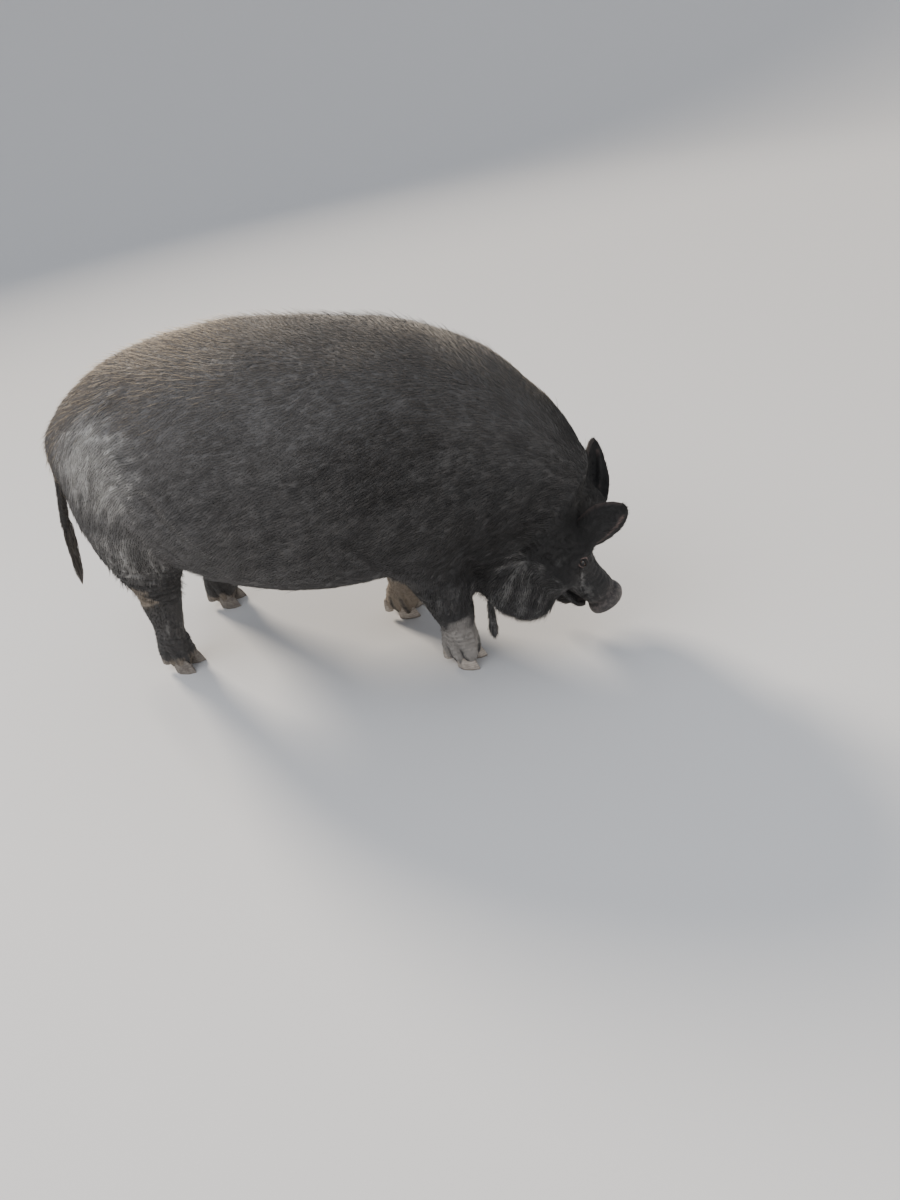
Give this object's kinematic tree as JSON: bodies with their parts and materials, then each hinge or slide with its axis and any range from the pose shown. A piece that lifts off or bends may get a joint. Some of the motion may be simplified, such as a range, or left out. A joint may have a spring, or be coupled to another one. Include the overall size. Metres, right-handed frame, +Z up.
{
  "type": "pig figure",
  "caption": "Life-size still figure of a very fat black pig standing with its head lowered to feed.",
  "frame": {"origin": "centre of the pig's bounding box on the floor its claws stand on", "axes": "+X from the tail towards the head, +Y to the pig's left, +Z up"},
  "size_m": [1.3636, 0.566, 0.7847],
  "materials": {
    "bristled_skin": "black skin under coarse black bristles that turn grey and tan in places",
    "pale_foot_skin": "pale pinkish grey skin under short whitish hair",
    "ear_skin": "thin dark skin with short hair, paler at the rim",
    "snout_skin": "bare moist grey skin",
    "tail_hair": "long coarse black hair",
    "claw_horn": "dull worn horn, grey to tan",
    "eye": "wet dark brown eyeball"
  },
  "bodies": {
    "root": {"belly": "bristled_skin", "claw_inner_front_left": "claw_horn", "claw_inner_front_right": "claw_horn", "claw_inner_hind_left": "claw_horn", "claw_inner_hind_right": "claw_horn", "claw_outer_front_left": "claw_horn", "claw_outer_front_right": "claw_horn", "claw_outer_hind_left": "claw_horn", "claw_outer_hind_right": "claw_horn", "dew_claw_inner_front_left": "claw_horn", "dew_claw_inner_front_right": "claw_horn", "dew_claw_inner_hind_left": "claw_horn", "dew_claw_inner_hind_right": "claw_horn", "dew_claw_outer_front_left": "claw_horn", "dew_claw_outer_front_right": "claw_horn", "dew_claw_outer_hind_left": "claw_horn", "dew_claw_outer_hind_right": "claw_horn", "ear_left": "ear_skin", "ear_right": "ear_skin", "eye_left": "eye", "eye_right": "eye", "head": "bristled_skin", "jowl_left": "bristled_skin", "jowl_right": "bristled_skin", "leg_lower_front_left": "bristled_skin", "leg_lower_front_right": "bristled_skin", "leg_lower_hind_left": "bristled_skin", "leg_lower_hind_right": "bristled_skin", "leg_upper_front_left": "bristled_skin", "leg_upper_front_right": "bristled_skin", "leg_upper_hind_left": "bristled_skin", "leg_upper_hind_right": "bristled_skin", "lower_jaw": "bristled_skin", "muzzle": "bristled_skin", "neck": "bristled_skin", "pastern_front_left": "pale_foot_skin", "pastern_front_right": "pale_foot_skin", "pastern_hind_left": "bristled_skin", "pastern_hind_right": "bristled_skin", "rump": "bristled_skin", "shoulders": "bristled_skin", "snout_disc": "snout_skin", "tail": "bristled_skin", "tail_brush": "tail_hair", "tassel_left": "bristled_skin", "tassel_right": "bristled_skin"}
  },
  "joints": []
}
